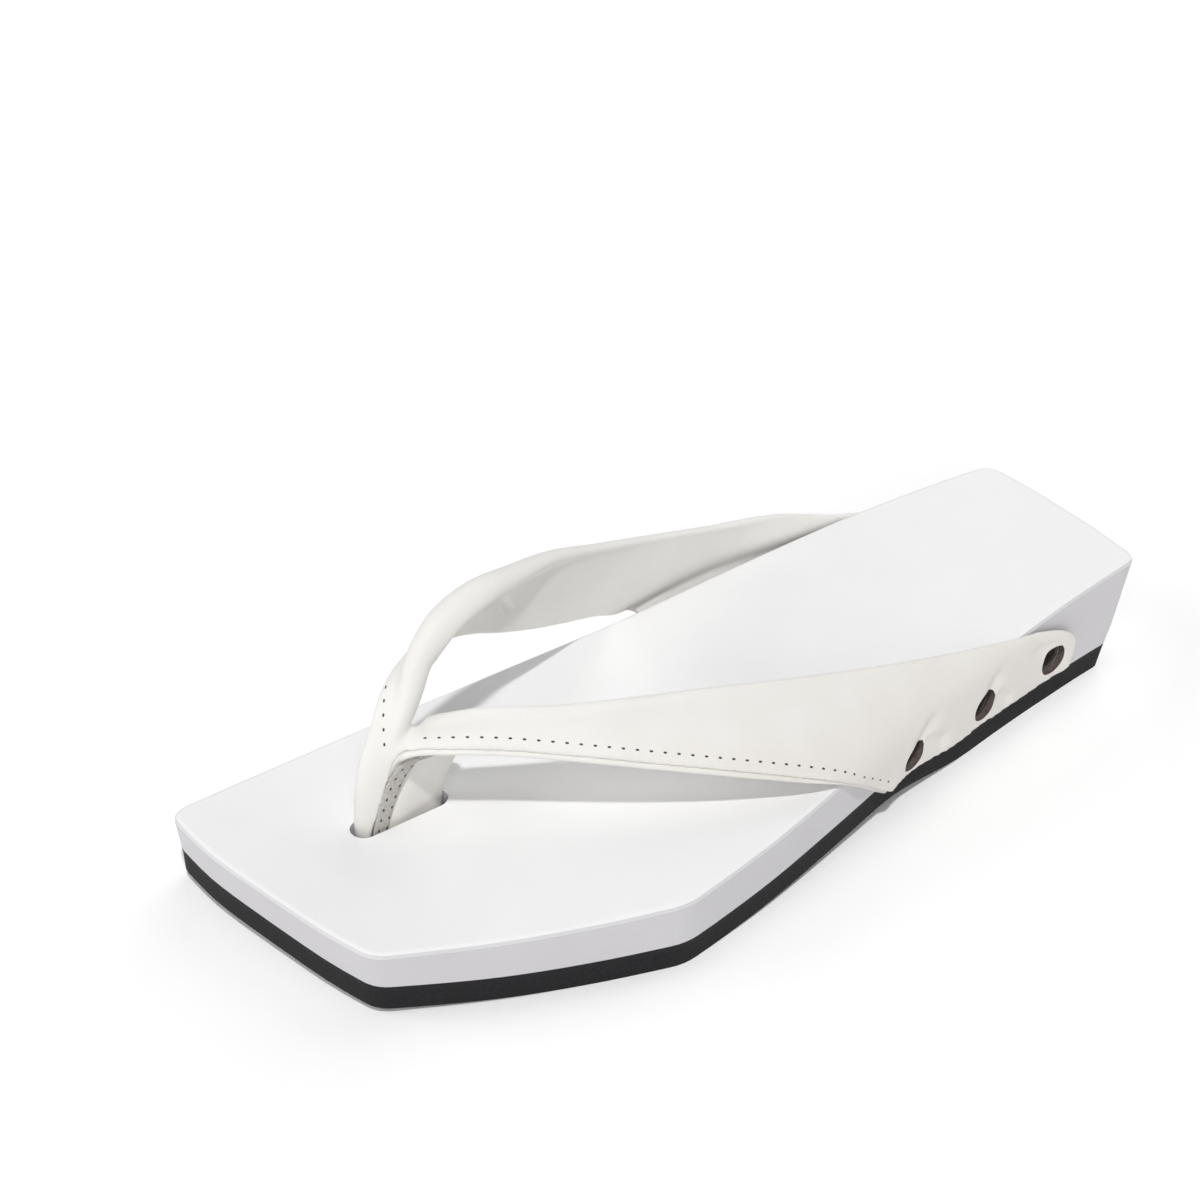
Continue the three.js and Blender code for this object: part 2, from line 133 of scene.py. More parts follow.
# Stations of each wing. Columns: front edge, rear edge, rear roll radius, front hem half thickness,
# swell of the middle, and for rows that bend, two points between the edges that the row bends towards.
# The lateral wing runs from the block's edge to the apex, turns and goes down the front of the post.
LATERAL = [
    ((48.0, 1.2, 27.2), (33.4, 51.4, 34.2), 1.2, 1.2, 1.4, None),
    ((45.0, -7.5, 30.4), (31.2, 28.7, 38.8), 1.4, 1.2, 1.8, None),
    ((38.9, -20.5, 34.2), (27.2, 7.4, 42.4), 1.7, 1.2, 1.8, None),
    ((29.7, -36.0, 37.7), (21.4, -12.9, 44.9), 2.0, 1.2, 1.4, None),
    ((19.8, -50.7, 40.4), (15.2, -29.9, 45.7), 2.3, 1.2, 1.2, None),
    ((10.8, -63.2, 42.0), (8.8, -44.9, 46.2), 2.7, 1.2, 1.2, None),
    ((3.0, -74.0, 42.4), (2.6, -56.6, 46.9), 3.0, 1.2, 1.2, None),
    ((-3.4, -81.6, 41.4), (-3.4, -65.6, 45.6), 3.2, 1.2, 0.8, None),
    ((-5.8, -83.2, 38.6), (-6.2, -70.4, 44.4), 2.4, 1.2, 0.0, ((-5.8, -82.4, 42.0), (-5.8, -78.0, 43.8))),
    ((-7.4, -86.2, 30.0), (-7.4, -73.2, 42.4), 1.4, 1.2, 0.0, ((-7.4, -85.8, 38.6), (-7.0, -82.8, 44.6))),
    ((-8.4, -89.2, 20.0), (-8.8, -75.2, 42.0), 1.3, 1.2, 0.0, ((-8.2, -88.6, 34.0), (-8.2, -86.2, 45.4))),
    ((-9.6, -91.0, 12.6), (-10.0, -76.6, 42.0), 1.3, 1.3, 0.0, ((-9.4, -90.4, 34.0), (-9.4, -88.4, 46.2))),
    ((-11.2, -91.4, 12.6), (-11.2, -78.2, 43.0), 1.3, 1.3, 0.0, ((-11.2, -91.2, 36.0), (-11.0, -88.4, 47.0))),
    ((-12.9, -90.0, 12.6), (-12.2, -80.0, 44.0), 1.3, 1.2, 0.0, ((-12.8, -90.2, 36.0), (-12.4, -87.4, 48.0))),
]
# The medial wing runs from the foot of the post up over the instep to the other side.
MEDIAL = [
    ((-12.9, -90.9, 12.6), (-10.8, -90.0, 12.6), 1.3, 1.3, 0.4, None),
    ((-12.9, -90.5, 20.0), (-10.3, -89.2, 20.0), 1.3, 1.2, 0.6, None),
    ((-12.8, -90.0, 27.0), (-9.7, -87.4, 28.0), 1.5, 1.2, 0.9, None),
    ((-12.7, -89.2, 34.0), (-8.8, -84.0, 36.0), 1.9, 1.2, 1.3, None),
    ((-13.0, -87.4, 41.0), (-8.3, -78.4, 43.6), 2.6, 1.2, 1.5, None),
    ((-14.2, -84.2, 46.8), (-8.6, -73.8, 51.6), 3.5, 1.2, 1.3, None),
    ((-17.2, -77.8, 51.8), (-9.6, -69.4, 60.8), 4.0, 1.2, 0.8, None),
    ((-20.0, -69.4, 54.0), (-12.0, -62.0, 67.6), 4.1, 1.2, 0.8, None),
    ((-20.8, -61.2, 54.8), (-15.4, -51.0, 69.6), 4.0, 1.2, 0.6, None),
    ((-21.5, -52.6, 52.8), (-21.2, -37.3, 66.3), 3.2, 1.2, 0.3, None),
    ((-24.3, -42.7, 47.4), (-28.5, -21.2, 60.6), 2.2, 1.2, 0.2, None),
    ((-28.7, -30.3, 40.8), (-34.2, -4.0, 52.9), 1.8, 1.2, 0.2, None),
    ((-33.3, -17.8, 34.8), (-38.2, 15.3, 45.8), 1.6, 1.2, 0.5, None),
    ((-38.0, -5.5, 29.2), (-40.0, 38.3, 39.1), 1.4, 1.2, 0.5, None),
    ((-41.2, 4.0, 24.4), (-40.4, 60.2, 34.0), 1.3, 1.2, 0.5, None),
]
# Rows down each side of the block: share of the way to the leather's foot, and the y range covered
SIDE_ROWS = [
    (0.0, 8.0, 78.0), (0.16, 12.0, 89.0), (0.36, 15.6, 96.6),
    (0.58, 19.2, 100.6), (0.8, 22.9, 100.6), (1.0, 26.6, 99.2),
]
ROW_POINTS = 41
STEPS = 10
# The lining and the stitches start this many steps above the lateral foot
FOOT_MARGIN = 3
# Where a row of the outer layer is cut: distances from the front edge at the hem, on a wing of full width or
# more, and shares of the way through the rear roll. Between them it is cut evenly.
HEM_CUTS = (0, 0.08, 0.25, 0.5, 0.8, 1.2, 1.8, 2.6, 3.6, 4.8, 6.0)
HEM_FULL_WIDTH = 15
ROLL_CUTS = (0, 0.12, 0.25, 0.4, 0.55, 0.7, 0.85, 0.95, 1)
ROLL_CUT_REACH = 2.2
ROLL_CUT_POWER = 1.5
MIDDLE_CUTS = 42
# The lining's edge: distances from the front edge, and its nose, as distance and share of the depth
LINING_CUTS = (-0.4, -0.1, 0.3, 0.9, 1.6, 2.6, 4.0, 5.2)
LINING_NOSE = (-0.62, -0.78, -0.82, -0.74, -0.5)
LINING_NOSE_DEPTH = (0.12, 0.32, 0.55, 0.78, 0.94)
LINING_GAP = 0.05
LINING_THINS = 0.9
LINING_THINS_OVER = (2.6, 5.2)


def smooth(a, b, t):
    k = np.clip((np.asarray(t, float) - a) / (b - a), 0, 1)
    return k * k * (3 - 2 * k)


def top_z(y):
    """Height of the block's top."""
    return FOREFOOT_TOP + HEEL_SLOPE * SLOPE_BLEND * math.log1p(math.exp((y - SLOPE_START_Y) / SLOPE_BLEND))


def seat_z(y):
    """Height of the face between the block and the sole."""
    climb = np.clip((y - ARCH_START_Y) / (ARCH_PEAK_Y - ARCH_START_Y), 0, 1) ** ARCH_POWER
    return RUBBER + ARCH_LIFT * float(climb * smooth(ARCH_END_Y, ARCH_PEAK_Y, y))


def foot_z(y):
    """Height of the leather's foot."""
    wave = through(np.array(FOOT_WAVE, float), FOOT_WAVE_STEPS)
    return seat_z(y) + FOOT_ABOVE_SEAT + float(np.interp(y, wave[:, 0], wave[:, 1]))


def tree_of(o):
    return BVHTree.FromPolygons([v.co for v in o.data.vertices], [p.vertices for p in o.data.polygons])


block = tree_of(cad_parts["base"])


def edge_x(side, y):
    """The block's outline on one side, just under the rounded top edge."""
    outside, under_edge = 120.0, 1.5
    start = (np.array([side * outside, y, top_z(y) - under_edge]) + SHIFT) * MM
    hit = block.ray_cast(Vector(start), Vector((-side, 0, 0)))[0]
    return hit.x / MM - SHIFT[0]


def wall_x(side, y, z):
    """The block's side, which tucks in below."""
    share = min(1.0, max(0.0, (top_z(y) - z) / (top_z(y) - seat_z(y))))
    return edge_x(side, y) - side * SIDE_TUCK * share


def free_row(front, rear, bends):
    """Points across the strap, front edge to rear edge."""
    f, r = np.array(front), np.array(rear)
    c1, c2 = (np.array(b) for b in bends) if bends else (f + (r - f) / 3, f + (r - f) * 2 / 3)
    v = np.linspace(0, 1, ROW_POINTS)[:, None]
    return (1 - v) ** 3 * f + 3 * v * (1 - v) ** 2 * c1 + 3 * v * v * (1 - v) * c2 + v**3 * r


def side_row(side, drop, front, rear):
    """Points across the leather where it lies against the block's side."""
    slack = MEDIAL_SLACK * smooth(*SLACK_DOWN, drop) if side < 0 else 0.0
    points = []
    for v in np.linspace(0, 1, ROW_POINTS):
        curl = REAR_CURL * smooth(*REAR_CURL_ACROSS, v) * smooth(*REAR_CURL_DOWN, drop)
        curl += FOOT_CURL * smooth(*FOOT_CURL_ACROSS, v) * smooth(*FOOT_CURL_DOWN, drop)
        away = CLEAR + LEATHER / 2 + slack * smooth(*SLACK_ACROSS, v) + curl
        y = front + (rear - front) * v
        z = top_z(y) + (foot_z(y) - top_z(y)) * drop
        if drop == 0:
            out, up = EDGE_TURN[side]
            z += REAR_CURL * smooth(*TOP_CURL_ACROSS, v) if side < 0 else 0.0
            points.append((edge_x(side, y) + side * away * out, y, z + away * up))
        else:
            points.append((wall_x(side, y, z) + side * away, y, z))
    return np.array(points)


def wing_rows(side, stations):
    """A wing's rows as (points, roll, hem, swell), in the order that keeps its outer face outward."""
    thin = LEATHER / 2
    foot = [(side_row(side, *r), thin, thin, 0.0) for r in SIDE_ROWS]
    free = [(free_row(f, r, bends), roll, hem, swell) for f, r, roll, hem, swell, bends in stations]
    return foot[::-1] + free if side > 0 else free + foot


def through(points, steps):
    """A centripetal curve through a stack of points (stations first), sampled evenly between stations."""
    p = np.concatenate([2 * points[:1] - points[1:2], points, 2 * points[-1:] - points[-2:-1]])
    out = []
    for k in range(len(points) - 1):
        p0, p1, p2, p3 = p[k : k + 4]
        gap = [
            np.maximum(np.linalg.norm(b - a, axis=-1, keepdims=True) ** 0.5, 1e-4)
            for a, b in ((p0, p1), (p1, p2), (p2, p3))
        ]
        m1 = ((p1 - p0) / gap[0] - (p2 - p0) / (gap[0] + gap[1]) + (p2 - p1) / gap[1]) * gap[1]
        m2 = ((p2 - p1) / gap[1] - (p3 - p1) / (gap[1] + gap[2]) + (p3 - p2) / gap[2]) * gap[1]
        for t in np.arange(steps) / steps:
            a, b = 2 * p1 - 2 * p2 + m1 + m2, -3 * p1 + 3 * p2 - 2 * m1 - m2
            out.append(p1 + m1 * t + b * t**2 + a * t**3)
    out.append(points[-1])
    return np.array(out)


def unit(v):
    return v / np.maximum(np.linalg.norm(v, axis=-1, keepdims=True), 1e-9)


class Wing:
    """One wing of the strap: its middle surface, and the layers laid on it."""

    def __init__(self, rows, lined):
        self.lined = lined
        self.rows = through(np.array([r[0] for r in rows]), STEPS)
        at = np.linspace(0, len(rows) - 1, len(self.rows))
        stations = np.arange(len(rows))
        self.roll, self.hem, self.swell = (np.interp(at, stations, [r[k] for r in rows]) for k in (1, 2, 3))
        across = np.gradient(self.rows, axis=1)
        self.across = unit(across)
        self.normal = unit(np.cross(across, np.gradient(self.rows, axis=0)))
        step = np.linalg.norm(np.diff(self.rows, axis=1), axis=2)
        self.s = np.concatenate([np.zeros((len(step), 1)), np.cumsum(step, axis=1)], axis=1)
        self.width = self.s[:, -1]

    def place(self, i, s, h):
        """Points of row i at distances s from the front edge, h above the middle surface."""
        read = lambda grid: np.stack([np.interp(s, self.s[i], grid[i, :, k]) for k in range(3)], axis=1)
        beyond = np.minimum(s, 0)[:, None] * self.across[i, 0]
        v = np.clip(s / self.width[i], 0, 1)
        lift = h + self.swell[i] * 4 * v * (1 - v)
        return read(self.rows) + beyond + unit(read(self.normal)) * lift[:, None]

    def half(self, i, s):
        """Half the thickness, full in the rear roll."""
        roll, rear = self.roll[i], self.width[i] - s
        share = smooth(0, 1, (ROLL_REACH * roll - rear) / (ROLL_BLEND * roll))
        rounded = np.where(rear < roll, np.sqrt(np.maximum(roll**2 - (roll - rear) ** 2, 0)), roll)
        return self.hem[i] * (1 - share) + rounded * share

    def under(self, i, s):
        """Height of the outer layer's lower face, which leaves room for the lining at the front hem."""
        return -self.half(i, s) + self.hem[i] * smooth(LINING_WIDTH, LINING_FULL * LINING_WIDTH, s)

    def columns(self, i):
        """Distances from the front edge at which row i is cut."""
        front = np.array(HEM_CUTS) * min(1, self.width[i] / HEM_FULL_WIDTH)
        rear = self.width[i] - ROLL_CUT_REACH * self.roll[i] * (1 - np.array(ROLL_CUTS)) ** ROLL_CUT_POWER
        # on a narrow wing the rear cuts still come after the front ones
        rear = np.maximum(rear, front[-1] + 0.5 + 0.01 * np.arange(len(rear)))
        return np.concatenate([front, np.linspace(front[-1], rear[0], MIDDLE_CUTS)[1:-1], rear])

    def skin(self):
        """Loops round the outer layer, from the hem over the outer face and back along the inner face."""
        loops = []
        for i in range(len(self.rows)):
            s = self.columns(i)
            d = np.clip(1 - s / EDGE_ROUND, 0, 1)
            worn = self.hem[i] * (1 - np.sqrt(1 - d * d))
            top = self.half(i, s) - worn
            low = np.minimum(self.under(i, s), top) if self.lined else worn - self.half(i, s)
            loops.append(np.concatenate([self.place(i, s, top), self.place(i, s, low)[::-1]]))
        return np.array(loops)

    def lining(self):
        """Loops round the lining's edge, which shows as a second layer under the front hem."""
        s, nose, depth = np.array(LINING_CUTS), np.array(LINING_NOSE), np.array(LINING_NOSE_DEPTH)
        loops = []
        for i in range(FOOT_MARGIN, len(self.rows)):
            top = self.under(i, np.maximum(s, 0)) - LINING_GAP
            low = -self.hem[i] + LINING_THINS * smooth(*LINING_THINS_OVER, s)
            tip = top[0] + (low[0] - top[0]) * depth
            loops.append(np.concatenate([
                self.place(i, s[::-1], top[::-1]),
                self.place(i, nose, tip),
                self.place(i, s, low),
            ]))
        return np.array(loops)


def mesh_object(name, points, faces):
    mesh = bpy.data.meshes.new(name)
    mesh.from_pydata(((np.asarray(points, float) + SHIFT) * MM).tolist(), [], faces)
    mesh.update()
    o = bpy.data.objects.new(name, mesh)
    bpy.context.scene.collection.objects.link(o)
    return o


def loft(loops):
    """Points and faces of a closed skin through a stack of loops."""
    rows, count = loops.shape[:2]
    faces = []
    for i in range(rows - 1):
        for j in range(count):
            k = (j + 1) % count
            faces.append((i * count + j, i * count + k, (i + 1) * count + k, (i + 1) * count + j))
    for i, ends in ((0, 1), (rows - 1, -1)):
        faces.append(tuple(i * count + j for j in range(count))[::ends])
    return loops.reshape(-1, 3), faces


def lofts_object(name, stacks):
    """One mesh object from several stacks of loops."""
    points, faces, start = [], [], 0
    for loops in stacks:
        p, f = loft(loops)
        points.append(p)
        faces += [tuple(v + start for v in face) for face in f]
        start += len(p)
    o = mesh_object(name, np.concatenate(points), faces)
    bm = bmesh.new()
    bm.from_mesh(o.data)
    bmesh.ops.triangulate(bm, faces=[f for f in bm.faces if len(f.verts) > 4])
    bmesh.ops.recalc_face_normals(bm, faces=bm.faces)
    bm.to_mesh(o.data)
    bm.free()
    return o


def apply_modifiers(o):
    bpy.context.view_layer.update()
    mesh = bpy.data.meshes.new_from_object(o.evaluated_get(bpy.context.evaluated_depsgraph_get()))
    o.modifiers.clear()
    o.data = mesh


def smooth_by_angle(o, degrees):
    o.data.polygons.foreach_set("use_smooth", [True] * len(o.data.polygons))
    bm = bmesh.new()
    bm.from_mesh(o.data)
    limit = math.radians(degrees)
    sharp = {e.index for e in bm.edges if len(e.link_faces) == 2 and e.calc_face_angle(0) > limit}
    bm.free()
    flags = [i in sharp for i in range(len(o.data.edges))]
    attribute = o.data.attributes.get("sharp_edge") or o.data.attributes.new("sharp_edge", "BOOLEAN", "EDGE")
    attribute.data.foreach_set("value", flags)
    o.data.update()


def leaf_cutter(side, y, width, lean):
    """A leaf-shaped bar through the leather at one hole."""
    step, inner_end, outer_end, arc_points = 4, -7.0, 9.0, 17
    slope = (wall_x(side, y + step, HOLE_HEIGHT) - wall_x(side, y - step, HOLE_HEIGHT)) / (2 * step)
    half, bulge = HOLE_LENGTH / 2, width / 2
    radius = (half**2 + bulge**2) / (2 * bulge)
    span = math.asin(half / radius)
    arc = np.linspace(-span, span, arc_points)
    right = np.stack([radius * np.sin(arc), radius * np.cos(arc) - (radius - bulge)], axis=1)
    outline = np.concatenate([right[:-1], -right[:-1]])
    turn = math.radians(lean)
    along = outline[:, 0] * math.cos(turn) + outline[:, 1] * math.sin(turn)
    up = outline[:, 0] * math.sin(turn) - outline[:, 1] * math.cos(turn)
    loops = []
    for out in (inner_end, outer_end):
        x = wall_x(side, y, HOLE_HEIGHT) + side * out + slope * along
        loops.append(np.stack([x, y + along - slope * side * out, HOLE_HEIGHT + up], axis=1))
    return lofts_object("hole", [np.array(loops)])


def cut(o, cutters):
    for c in cutters:
        m = o.modifiers.new("cut", "BOOLEAN")
        m.operation, m.solver, m.object = "DIFFERENCE", "EXACT", c
    apply_modifiers(o)
    for c in cutters:
        bpy.data.objects.remove(c)


def melt(o, weight, rounds):
    """Smooths the mesh where weight(points) is above zero."""
    co = np.array([v.co for v in o.data.vertices]) / MM - SHIFT
    group = o.vertex_groups.new(name="melt")
    w = weight(co)
    for level in np.linspace(0.1, 1, 10):
        chosen = np.flatnonzero(np.abs(w - level) <= 0.05)
        group.add([int(k) for k in chosen], float(level), "REPLACE")
    m = o.modifiers.new("melt", "SMOOTH")
    m.factor, m.iterations, m.vertex_group = SMOOTH_FACTOR, rounds, "melt"
    apply_modifiers(o)
    o.vertex_groups.clear()


# Where the wings and the post meet, and how far round it they are melted together
APEX = np.array([-10.0, -83.0, 40.0])
APEX_REACH = np.array([9.0, 9.0, 13.0])


def near_apex(co):
    return smooth(1.0, 0.5, np.linalg.norm((co - APEX) / APEX_REACH, axis=1))


# Creases pressed into the leather. Columns: path, half width, depth
CREASES = [
    # where the gathered tube opens into the medial wing
    ([(-19.6, -48.0, 59.6), (-21.0, -42.6, 59.6)], 1.1, 0.55),
    ([(-21.0, -42.6, 59.6), (-22.0, -43.2, 55.4)], 1.0, 0.5),
    ([(-21.0, -42.6, 59.6), (-23.6, -38.8, 53.0)], 1.1, 0.55),
    ([(-21.0, -42.6, 59.6), (-21.7, -38.6, 62.0)], 1.0, 0.45),
    # dents running off the holes
    ([(42.9, 38.6, 18.9), (42.5, 42.2, 23.1)], 2.6, 1.2),
    ([(42.2, 41.6, 17.1), (40.9, 47.0, 14.0)], 2.3, 1.0),
    ([(37.7, 66.8, 19.5), (37.6, 68.0, 21.9)], 2.4, 1.0),
    ([(36.8, 70.4, 14.7), (36.1, 73.8, 12.3)], 2.1, 0.9),
    ([(31.6, 88.0, 20.6), (32.6, 85.0, 22.0)], 2.3, 0.8),
]
# A point faces the lateral side when more than this share of its normal does
LATERAL_FACING = 0.3


def press(o, creases):
    """Presses creases into the faces of the leather that look towards the lateral side."""
    co = np.array([v.co for v in o.data.vertices]) / MM - SHIFT
    normal = np.array([v.normal for v in o.data.vertices])
    seen = np.flatnonzero(normal[:, 0] > LATERAL_FACING)
    base, out = co[seen], normal[seen]
    push = np.zeros(len(seen))
    for path, width, depth in creases:
        corners = [base[np.argmin(np.linalg.norm(base - p, axis=1))] for p in path]
        away = np.full(len(seen), 1e9)
        for a, b in zip(corners, corners[1:]):
            t = np.clip((base - a) @ (b - a) / ((b - a) @ (b - a)), 0, 1)
            away = np.minimum(away, np.linalg.norm(base - a - t[:, None] * (b - a), axis=1))
        push = np.maximum(push, depth * np.exp(-((away / width) ** 2)))
    co[seen] -= out * push[:, None]
    o.data.vertices.foreach_set("co", ((co + SHIFT) * MM).ravel())
    o.data.update()


lateral, medial = Wing(wing_rows(1, LATERAL), True), Wing(wing_rows(-1, MEDIAL), False)
strap = lofts_object("strap", [lateral.skin(), medial.skin()])
remesh = strap.modifiers.new("remesh", "REMESH")
remesh.mode, remesh.voxel_size = "VOXEL", VOXEL * MM
settle = strap.modifiers.new("settle", "SMOOTH")
settle.factor, settle.iterations = SMOOTH_FACTOR, SETTLE_ROUNDS
apply_modifiers(strap)
melt(strap, near_apex, MELT_ROUNDS)
press(strap, CREASES)
cut(strap, [leaf_cutter(side, *hole) for side in (-1, 1) for hole in HOLES])
smooth_by_angle(strap, LEATHER_SHARP)

lining = lofts_object("lining", [lateral.lining()])
smooth_by_angle(lining, LEATHER_SHARP)

# The toe post behind the front fold. Columns: front y, rear y, height
TONGUE = [
    (-87.2, -69.0, 12.0), (-87.0, -69.0, 18.0), (-85.8, -68.2, 22.5), (-84.0, -66.0, 27.0),
    (-82.2, -63.6, 31.0), (-80.8, -62.8, 34.0), (-79.6, -63.8, 36.6), (-78.8, -67.2, 38.8),
    (-78.6, -71.6, 40.6), (-78.4, -75.4, 41.8),
]
TONGUE_STEPS = 6
TONGUE_SIDES = 48
TONGUE_HALF = 2.6
# How square its section is, where 2 is an ellipse, and how much it thins towards the rear
TONGUE_SQUARE = 3.2
TONGUE_THINS = 0.45
TONGUE_THINS_OVER = (0.15, 0.75)
# Its rounded end. Columns: share of the last section, rise
TONGUE_CAP = ((0.93, 0.5), (0.8, 0.85), (0.55, 1.05), (0.25, 1.15))


def tongue_loops():
    t = np.linspace(0, 2 * np.pi, TONGUE_SIDES + 1)[:-1]
    power = 2 / TONGUE_SQUARE
    loops = []
    for front, rear, z in through(np.array(TONGUE), TONGUE_STEPS):
        x = np.sign(np.cos(t)) * np.abs(np.cos(t)) ** power * TONGUE_HALF
        y = np.sign(np.sin(t)) * np.abs(np.sin(t)) ** power * (rear - front) / 2
        x = x * (1 - TONGUE_THINS * smooth(*TONGUE_THINS_OVER, 0.5 + y / (rear - front)))
        loops.append(np.stack([POST_X + x, (front + rear) / 2 + y, z + 0 * t], axis=1))
    last, centre = loops[-1], loops[-1].mean(0)
    for share, rise in TONGUE_CAP:
        loops.append(centre + (last - centre) * share + np.array([0, 0, rise]))
    return np.array(loops)


tongue = lofts_object("tongue", [tongue_loops()])
smooth_by_angle(tongue, ROUND_SHARP)

# The bare flesh-side strip along the post's lateral side. Columns: front x, y, rear x, y, height
STRIP = [
    (-8.2, -90.4, -7.9, -86.2, 12.0), (-8.0, -89.4, -7.7, -85.4, 19.0), (-7.3, -87.4, -7.1, -82.8, 27.6),
    (-6.8, -85.2, -6.6, -80.0, 33.0), (-5.6, -82.6, -5.2, -77.2, 36.8), (-2.4, -79.4, -1.8, -73.6, 39.4),
]
STRIP_STEPS = 8
STRIP_HALF = 0.55
# Where its section is cut, as shares of its width, and how square the section is
STRIP_CUTS = (0, 0.03, 0.1, 0.25, 0.5, 0.75, 0.9, 0.97, 1)
STRIP_SQUARE = 8
# Its two stitch lines, as shares of its width, the steps that they run over, and their pitch
STRIP_LINES = (0.3, 0.82)
STRIP_SEWN = slice(6, 34)
STRIP_PITCH = 0.92 * STITCH_PITCH


def strip_sides():
    """The strip's front edge, rear edge and square direction at each step along it."""
    stations = through(np.array(STRIP), STRIP_STEPS)
    front, rear = stations[:, [0, 1, 4]], stations[:, [2, 3, 4]]
    along = unit(np.gradient((front + rear) / 2, axis=0))
    return front, rear, unit(np.cross(unit(rear - front), along))


def strip_loops():
    v = np.array(STRIP_CUTS)
    lift = STRIP_HALF * np.sqrt(np.clip(1 - np.abs(2 * v - 1) ** STRIP_SQUARE, 0, 1))
    loops = []
    for f, r, n in zip(*strip_sides()):
        row = f + (r - f) * v[:, None]
        loops.append(np.concatenate([row + n * lift[:, None], (row - n * lift[:, None])[::-1][1:-1]]))
    return np.array(loops)


strip = lofts_object("post_strip", [strip_loops()])
smooth_by_angle(strip, LEATHER_SHARP)


# Stitches


def stitch_spots(path, outward, pitch):
    """Even spots along a path, as (point, direction along, outward)."""
    step = np.linalg.norm(np.diff(path, axis=0), axis=1)
    run = np.concatenate([[0], np.cumsum(step)])
    at = np.arange(pitch / 2, run[-1], pitch)
    read = lambda grid: np.stack([np.interp(at, run, grid[:, k]) for k in range(3)], axis=1)
    return list(zip(read(path), unit(read(np.gradient(path, axis=0))), unit(read(outward))))


def stitch_object(name, spots, carrier):
    """Short dark stitches let into the carrier's surface at each spot."""
    tree = tree_of(carrier)
    ring = np.linspace(0, 2 * np.pi, STITCH_SIDES + 1)[:-1]
    points, faces = [], []
    for spot, along, out in spots:
        start = Vector((spot + out * STITCH_START + SHIFT) * MM)
        hit, normal, _, _ = tree.ray_cast(start, Vector(-out), STITCH_SEARCH * MM)
        if hit is None:
            continue
        n = np.array(normal)
        if n @ out < 0:
            n = -n
        centre = np.array(hit) / MM - SHIFT
        a = unit(along - n * (along @ n))
        b = np.cross(n, a)
        low = len(points)
        for share, height in STITCH_RINGS:
            for w in ring:
                flat = a * math.cos(w) * STITCH_LENGTH / 2 + b * math.sin(w) * STITCH_WIDTH / 2
                points.append(centre + share * flat + n * height)
        high = len(points) - STITCH_SIDES
        for r0 in range(low, high, STITCH_SIDES):
            r1 = r0 + STITCH_SIDES
            for j in range(STITCH_SIDES):
                k = (j + 1) % STITCH_SIDES
                faces.append((r0 + j, r0 + k, r1 + k, r1 + j))
        faces.append(tuple(high + j for j in range(STITCH_SIDES)))
        faces.append(tuple(low + j for j in range(STITCH_SIDES))[::-1])
    o = mesh_object(name, points, faces)
    smooth_by_angle(o, ROUND_SHARP)
    return o


def hem_line(wing, insets, first, last):
    """Points and outward directions along a wing between two steps, set square in from its front hem."""
    inset = np.interp(np.arange(first, last), first + STEPS * np.arange(len(insets)), insets)[:, None]
    hem, out = wing.rows[first:last, 0], wing.normal[first:last, 1]
    along = unit(np.gradient(hem, axis=0))
    inward = unit(np.cross(along, out))
    inward *= np.sign((inward * wing.across[first:last, 1]).sum(1))[:, None]
    return hem + inward * inset + out * wing.hem[first:last, None], out


side_steps = (len(SIDE_ROWS) - 1) * STEPS
# Stitched runs. Columns: wing, insets from the hem, first and last step along the wing, pitch
RUNS = [
    (lateral, [STITCH_INSET] * 2, FOOT_MARGIN, side_steps, 1.4 * STITCH_PITCH),
    (lateral, [STITCH_INSET] * 2, side_steps, side_steps + 7 * STEPS + 8, STITCH_PITCH),
    (medial, MEDIAL_INSETS, 4 * STEPS, 5 * STEPS + 9, STITCH_PITCH),
    (medial, [1.3 * STITCH_INSET] * 2, 8 * STEPS, 13 * STEPS, STITCH_PITCH),
]
spots = []
for wing, insets, first, last, pitch in RUNS:
    spots += stitch_spots(*hem_line(wing, insets, first, last), pitch)
stitches = stitch_object("stitches", spots, strap)

front, rear, square = strip_sides()
outward = square * np.sign(square[:, 0].sum())
strip_spots = []
for share in STRIP_LINES:
    line = front + (rear - front) * share
    strip_spots += stitch_spots(line[STRIP_SEWN], outward[STRIP_SEWN], STRIP_PITCH)
strip_stitches = stitch_object("strip_stitches", strip_spots, strip)

# Materials

# The block's sides carry painted shade, darker than its top: how far a face looks up where the top's tone
# starts and is full
TOP_FACING = (0.25, 0.85)
FLOOR_GLOW = 0.08
# A face is a wall of a hole when it lies in the hole or this far round it, and less than this share of its
# normal points across the shoe
HOLE_MARGIN = 0.3
HOLE_WALL_FACING = 0.6


def material(name, roughness):
    m = bpy.data.materials.new(name)
    m.use_nodes = True
    nodes, links = m.node_tree.nodes, m.node_tree.links
    shader = nodes["Principled BSDF"]
    shader.inputs["Roughness"].default_value = roughness
    place = nodes.new("ShaderNodeTexCoord").outputs["Object"]
    return m, nodes, links, shader, place


def mottle(nodes, links, place, scale, low, high, detail=3.0, contrast=0.25):
    """Two tones blended by noise. The scale is in bumps to the metre."""
    noise = nodes.new("ShaderNodeTexNoise")
    noise.inputs["Scale"].default_value = scale
    noise.inputs["Detail"].default_value = detail
    links.new(place, noise.inputs["Vector"])
    ramp = nodes.new("ShaderNodeValToRGB")
    for stop, at, tone in zip(ramp.color_ramp.elements, (0.5 - contrast, 0.5 + contrast), (low, high)):
        stop.position, stop.color = at, (*tone, 1)
    links.new(noise.outputs["Fac"], ramp.inputs["Fac"])
    return ramp.outputs["Color"]


def share_of(nodes, links, value, low, high):
    """0 where the value is low, 1 where it is high."""
    level = nodes.new("ShaderNodeMapRange")
    level.inputs["From Min"].default_value = low
    level.inputs["From Max"].default_value = high
    links.new(value, level.inputs["Value"])
    return level.outputs["Result"]


